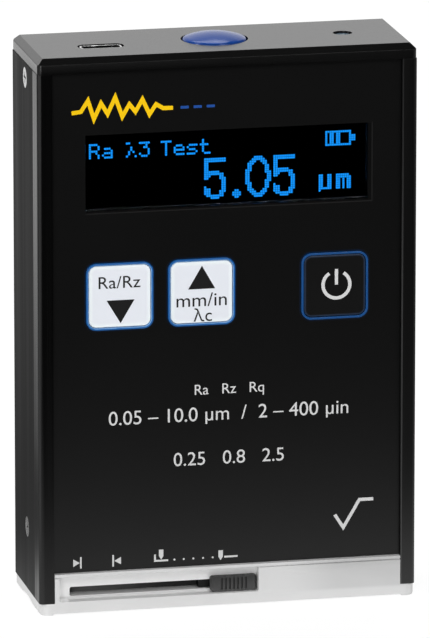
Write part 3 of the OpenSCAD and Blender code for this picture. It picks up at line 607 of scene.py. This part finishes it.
# Painted glints in patches along the rim, and painted shade below it.
painted_rim_glints = below_rim.ramp(0.04 * MM, 0.16 * MM, 1.0, 0.0) * place.noise(700.0, 1.0).ramp(0.4, 0.6, 0.35, 1.0)
vary("Base Color", painted_rim_glints.blend(grey(0.05), grey(0.85)))
vary("Roughness", 0.22 + 0.12 * place.noise(3000.0))
shell = raised(softened("socket_shell", "usb_socket", 0.05 * MM, socket_steel, 2), "usb_socket", SHELL_DEPTH)
fixed_to("body", "bright_steel", shell, "usb_socket")
coated(chip_black, "usb_tongue")


# Battery
# A flat pouch cell wrapped in dull foil. A pad of white foam tape between the two holds it to the housing's
# back wall.
foil = mottled("cell_wrap", {"Metallic": 0.6}, (grey(0.4), grey(0.5)), 120.0, (0.35, 0.55), 260.0)
coated(foil, "battery")
tape_tones = (grey(0.7), grey(0.82))
foam = mottled("tape_white", {"Specular IOR Level": 0.2}, tape_tones, 2000.0, (0.8, 0.95), 3000.0)
coated(foam, "battery_tape")


# Top cap
# A satin black moulding with a bevelled rim that closes the housing, with cut-outs for the socket, the
# button and the lamp. The upper pair of side screws holds it.
cap_satin, place, vary = new_finish("cap_grey", {"Specular IOR Level": 0.41})
spark = place.noise(4200.0, 1.0)
vary("Base Color", place.noise(60.0).blend(grey(0.001), grey(0.0026)))
vary("Roughness", 0.19 + 0.06 * spark)
vary("Normal", spark.bump(0.06, 0.01 * MM))
fixed_to("body", "cap_grey", softened("cap_moulding", "top_cap", 0.01 * MM, cap_satin, 1), "top_cap")


# Start button
# A shallow dome moulded in blue, held under the cap by its flange. What stands above the cap is drawn a
# little higher than in the CAD node.
DOME_STRETCH = 0.4
dome_tones = ((0.004, 0.046, 0.25, 1.0), (0.007, 0.058, 0.31, 1.0))
button_blue = mottled("button_blue", {"Specular IOR Level": 0.25}, dome_tones, 200.0, (0.16, 0.21), 2600.0)
dome = softened("button_dome", "start_button", 0.35 * MM, button_blue, 4)
cap_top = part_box("top_cap")[1].z
for v in dome.data.vertices:
    v.co.z += DOME_STRETCH * max(v.co.z - cap_top, 0.0)
fixed_to("start_button", "button_blue", dome, "start_button")


# Side screws
# Four countersunk cross-head screws of plated steel, two on each side. They hold the cap and the base to
# the housing.
screw_heads = softened("side_screw_heads", "side_screws", 0.04 * MM, steel, 2)
fixed_to("body", "bright_steel", screw_heads, "side_screws")


# Base
# A milled aluminium block, bead-blasted to a fine satin, with corner pads, an arch across its underside and
# a pocket and slot for the knob. The pocket ends closer to the knob than in the CAD node.
blasted, place, vary = new_finish("base_metal", {"Metallic": 0.35, "Specular IOR Level": 0.4})
base_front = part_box("base")[0].y
ledge_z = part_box("bar_guide")[0].z - 0.5 * MM
across, inward, height = place.part("X"), place.part("Y") - base_front, place.part("Z")

# Painted shade darkens the upper right part of the front. The pocket is painted brighter, as painted light,
# and its lower ledge darker, as painted shade.
shaded_rows = height.ramp(1.6 * MM, 2.4 * MM) + 0.5 * height.ramp(5.5 * MM, 7 * MM)
painted_right_shade = 0.15 * (across.ramp(9 * MM, 22 * MM) * shaded_rows)
outside = painted_right_shade.blend(place.noise(90.0).blend(grey(0.77), grey(0.83)), grey(0.0))
painted_ledge_shade = (height - ledge_z).ramp(0.3 * MM, 0.6 * MM, 1.0, 0.0)
painted_pocket_light = painted_ledge_shade.blend(grey(0.95), grey(0.76))
vary("Base Color", inward.ramp(0.3 * MM, 0.6 * MM).blend(outside, painted_pocket_light))

grit = place.noise(6500.0, 1.0)
milling = place.stretched(60, 4000, 4000).noise(1.0)
vary("Roughness", 0.34 + 0.08 * grit + 0.08 * milling)
vary("Normal", grit.bump(0.08, 0.01 * MM))

POCKET_DEPTH, POCKET_END, POCKET_CORNER, KNOB_ROOM = 2.4 * MM, 0.9 * MM, 0.45 * MM, 0.15 * MM
block = softened("base_block", "base", 0.09 * MM, blasted)
knob_low, knob_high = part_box("slider_knob")
for v in block.data.vertices:
    in_pocket = v.co.y < base_front + POCKET_DEPTH and v.co.z > knob_low.z - 1.0 * MM
    past_end = v.co.x - knob_high.x - POCKET_END
    if in_pocket and -POCKET_CORNER < past_end < 0.2 * MM:
        v.co.x -= POCKET_END - KNOB_ROOM
fixed_to("body", "base_metal", block, "base")


# Knob
# A dark grey moulding with ribs for the thumb, which runs in the base's slot. It is painted paler towards
# its foot, for the light that the bright pocket throws on it.
knob_grey, place, vary = new_finish("knob_grey", {"Specular IOR Level": 0.4})
# Painted light: paler towards the foot, from the bright pocket.
painted_foot_light = place.part("Z").ramp(knob_low.z + 0.1 * MM, knob_high.z - 0.1 * MM, 0.8, 0.0)
vary("Base Color", (painted_foot_light + 0.2 * place.noise(900.0)).blend(grey(0.03), grey(0.068)))
vary("Roughness", 0.5 + 0.12 * place.noise(3000.0))
knob = softened("knob_moulding", "slider_knob", 0.08 * MM, knob_grey, 2)
fixed_to("slider", "knob_grey", knob, "slider_knob")


# Wedge bar and its guide strip
# A blackened steel bar, tied to the knob by two screws, whose wedge lifts the pick-up. A black strip keeps
# it against the base's front wall. It is painted grey at its left end, a painted reflection, and darker
# towards the knob, painted shade.
blackened, place, vary = new_finish("black_steel", {"Metallic": 0.6})
vary("Base Color", place.noise(300.0).blend(grey(0.005), grey(0.009)))
vary("Roughness", 0.42 + 0.15 * place.stretched(300, 5000, 5000).noise(1.0))
coated(blackened, "slide_bar")
coated(steel, "slider_screws")

strip_black, place, vary = new_finish("strip_black", {"Specular IOR Level": 0.3})
# Painted light and shade: paler at the left end, darker towards the knob.
painted_shade_to_knob = (place.part("X") + 4 * MM * place.noise(400.0)).ramp(-24 * MM, -6 * MM)
vary("Base Color", painted_shade_to_knob.blend(grey(0.1), grey(0.02)))
vary("Roughness", 0.55 + 0.15 * place.noise(3000.0))
coated(strip_black, "bar_guide")


# Traverse drive
# A geared motor turns the lead screw through a sleeve, beside two ground rods that guide the carriage. A
# milled bracket, held by screws, carries them all.
milled, place, vary = new_finish("plain_metal", {"Metallic": 1.0})
vary("Base Color", place.noise(200.0).blend(grey(0.46), grey(0.58)))
vary("Roughness", 0.3 + 0.15 * place.stretched(300, 5000, 5000).noise(1.0))
coated(milled, "drive_frame", "drive_motor")

brass, place, vary = new_finish("brass", {"Metallic": 1.0})
vary("Base Color", place.noise(300.0).blend((0.56, 0.38, 0.12, 1.0), (0.68, 0.48, 0.18, 1.0)))
vary("Roughness", 0.25 + 0.15 * place.stretched(6000, 300, 300).noise(1.0))
coated(brass, "screw_bush", "coupling_sleeve", "gearbox")
coated(steel, "frame_screws", "guide_rods", "motor_shaft", "lead_screw")


# Carriage
# A moulding in slippery blue-grey plastic that slides on the rods. The lead screw draws it along by its
# brass nut.
carriage_tones = ((0.03, 0.05, 0.075, 1.0), (0.05, 0.08, 0.11, 1.0))
slippery = mottled("carriage_blue", {"Specular IOR Level": 0.4}, carriage_tones, 400.0, (0.4, 0.52), 2000.0)
coated(slippery, "carriage")
coated(brass, "drive_nut")


# Pick-up
# A milled lever on a hinge pin, pressed down by a leaf spring and lifted by its pin. It carries a ruby skid
# and a thin steel arm, and the diamond at the arm's end feels the surface.
coated(milled, "pickup_lever")
coated(steel, "hinge_pin", "lift_pin", "stylus_arm")
coated(brass, "pressure_spring")

ruby_coat = {"Coat Weight": 0.8, "Coat Roughness": 0.03}
ruby_tones = ((0.25, 0.008, 0.02, 1.0), (0.4, 0.02, 0.04, 1.0))
coated(mottled("ruby", ruby_coat, ruby_tones, 2000.0, (0.08, 0.14), 3000.0), "skid")
diamond_clear = {"Transmission Weight": 0.6, "IOR": 2.4}
diamond_tones = ((0.55, 0.7, 0.78, 1.0), (0.7, 0.82, 0.88, 1.0))
coated(mottled("diamond", diamond_clear, diamond_tones, 3000.0, (0.03, 0.07), 4000.0), "diamond_tip")


# Table
# A white studio table that runs out of sight behind the object. The camera sees it nearly burnt out. What
# the black faces mirror of it is paler and dimmer in patches, like cards and gaps round a studio set.
def light_path(tree):
    """Whether a ray is the camera's own, and whether it is that, a mirrored ray or one through glass."""
    path = tree.nodes.new("ShaderNodeLightPath")
    sorts = ("Is Camera Ray", "Is Glossy Ray", "Is Transmission Ray")
    direct, mirrored, through = (Shade(path.outputs[sort]) for sort in sorts)
    return direct, direct.most(mirrored.most(through))


table_top = bpy.data.materials.new("table_top")
table_top.use_nodes = True
nodes, links = table_top.node_tree.nodes, table_top.node_tree.links
nodes.clear()
direct, shown = light_path(table_top.node_tree)
table_place = Shade(nodes.new("ShaderNodeTexCoord").outputs["Object"])
sideways, away = table_place.part("X"), table_place.part("Y")

# Mirrored, it is pale at the foot of the front and dimmer beside the object and far out to the left. A pale
# card lies in front on the left, and a weaker one on the right.
foot = away.ramp(-0.2, 0.0)
beside = away.ramp(0.0, 0.05) * away.ramp(0.05, 0.35, 1.0, 0.0)
behind = away.ramp(-0.03, 0.03)
far_left = sideways.ramp(-0.36, -0.2, 1.0, 0.0)
cards = 0.7 * sideways.ramp(-0.25, -0.08, 1.0, 0.0) + 0.4 * sideways.ramp(0.2, 0.35)
patches = (foot * foot - 0.8 * beside) * (1 - 0.85 * far_left * behind)
patches = patches.most(cards * (1 - behind))

white_paint = shown.node("ShaderNodeBsdfDiffuse", {}, {"Color": grey(0.75)})
seen_paint = shown.node("ShaderNodeBsdfDiffuse", {}, {"Color": grey(0.25)})
seen_light = shown.node("ShaderNodeEmission", {}, {"Color": grey(1.0), "Strength": 0.84})
mirrored_light = shown.node("ShaderNodeEmission", {}, {"Color": grey(1.0), "Strength": patches})
burnt_out = shown.node("ShaderNodeAddShader", {}, {0: seen_paint, 1: seen_light})
to_object = shown.node("ShaderNodeMixShader", {}, {0: shown, 1: white_paint, 2: mirrored_light})
surface = shown.node("ShaderNodeMixShader", {}, {0: direct, 1: to_object, 2: burnt_out})
links.new(surface.socket, nodes.new("ShaderNodeOutputMaterial").inputs["Surface"])

TABLE_SIDE, TABLE_FRONT, TABLE_BACK = 1.5, -1.2, 2.5
table_corners = [(-TABLE_SIDE, TABLE_FRONT, 0), (TABLE_SIDE, TABLE_FRONT, 0),
                 (TABLE_SIDE, TABLE_BACK, 0), (-TABLE_SIDE, TABLE_BACK, 0)]
floor_mesh = bpy.data.meshes.new("floor")
floor_mesh.from_pydata(table_corners, [], [(0, 1, 2, 3)])
placed("floor", floor_mesh, table_top)


# Studio light
# Four softboxes and a white backdrop. The rest of the room is dim, so that the black faces stay black. The
# camera itself sees white all round.
world = bpy.data.worlds.new("studio")
bpy.context.scene.world = world
world.use_nodes = True
nodes, links = world.node_tree.nodes, world.node_tree.links
nodes.clear()
direct, shown = light_path(world.node_tree)
heading = Shade(nodes.new("ShaderNodeTexCoord").outputs["Generated"])
backdrop = heading.part("Y").ramp(0.5, 0.9, 0.08, 1.0)
strength = direct + (1 - direct) * (shown * backdrop + (1 - shown) * 0.3)
ambient = shown.node("ShaderNodeBackground", {}, {"Color": grey(1.0), "Strength": strength})
links.new(ambient.socket, nodes.new("ShaderNodeOutputWorld").inputs["Surface"])


def softbox(name, stand, width, height, watts):
    """A rectangular lamp on a stand, turned to the middle of the object."""
    aim = Vector((0.0, 0.0, 50 * MM)) - Vector(stand)
    box = bpy.data.lights.new(name, "AREA")
    box.shape = "RECTANGLE"
    box.size, box.size_y, box.energy = width, height, watts
    holder = bpy.data.objects.new(name, box)
    holder.location = stand
    holder.rotation_euler = aim.to_track_quat("-Z", "Y").to_euler()
    bpy.context.scene.collection.objects.link(holder)


softbox("front_softbox", (0.35, -0.9, 0.75), 0.5, 0.5, 4.8)
softbox("overhead_softbox", (0.0, 0.45, 0.85), 0.6, 0.4, 3.0)
softbox("left_strip", (-0.7, -0.12, 0.4), 0.12, 0.5, 2.2)
softbox("front_left_softbox", (-0.5, -1.0, 0.25), 0.3, 0.4, 2.5)


# Camera
# A long lens a little above the object and to its left, aimed near the object's middle. Its angles and its
# focal length were fitted to the photograph's edges.
YAW, LIFT, DISTANCE = math.radians(-12.25), math.radians(13.69), 1.6
LENS, SENSOR = 495.16, 36.0
AIM = Vector((0.13, 0.0, 50.95)) * MM
back = Vector((math.sin(YAW) * math.cos(LIFT), -math.cos(YAW) * math.cos(LIFT), math.sin(LIFT)))
camera = bpy.data.cameras.new("camera")
camera.sensor_width = SENSOR
camera.lens = LENS
viewer = bpy.data.objects.new("camera", camera)
viewer.location = AIM + back * DISTANCE
viewer.rotation_euler = (-back).to_track_quat("-Z", "Y").to_euler()
bpy.context.scene.collection.objects.link(viewer)
bpy.context.scene.camera = viewer
bpy.context.scene.view_settings.view_transform = "Standard"
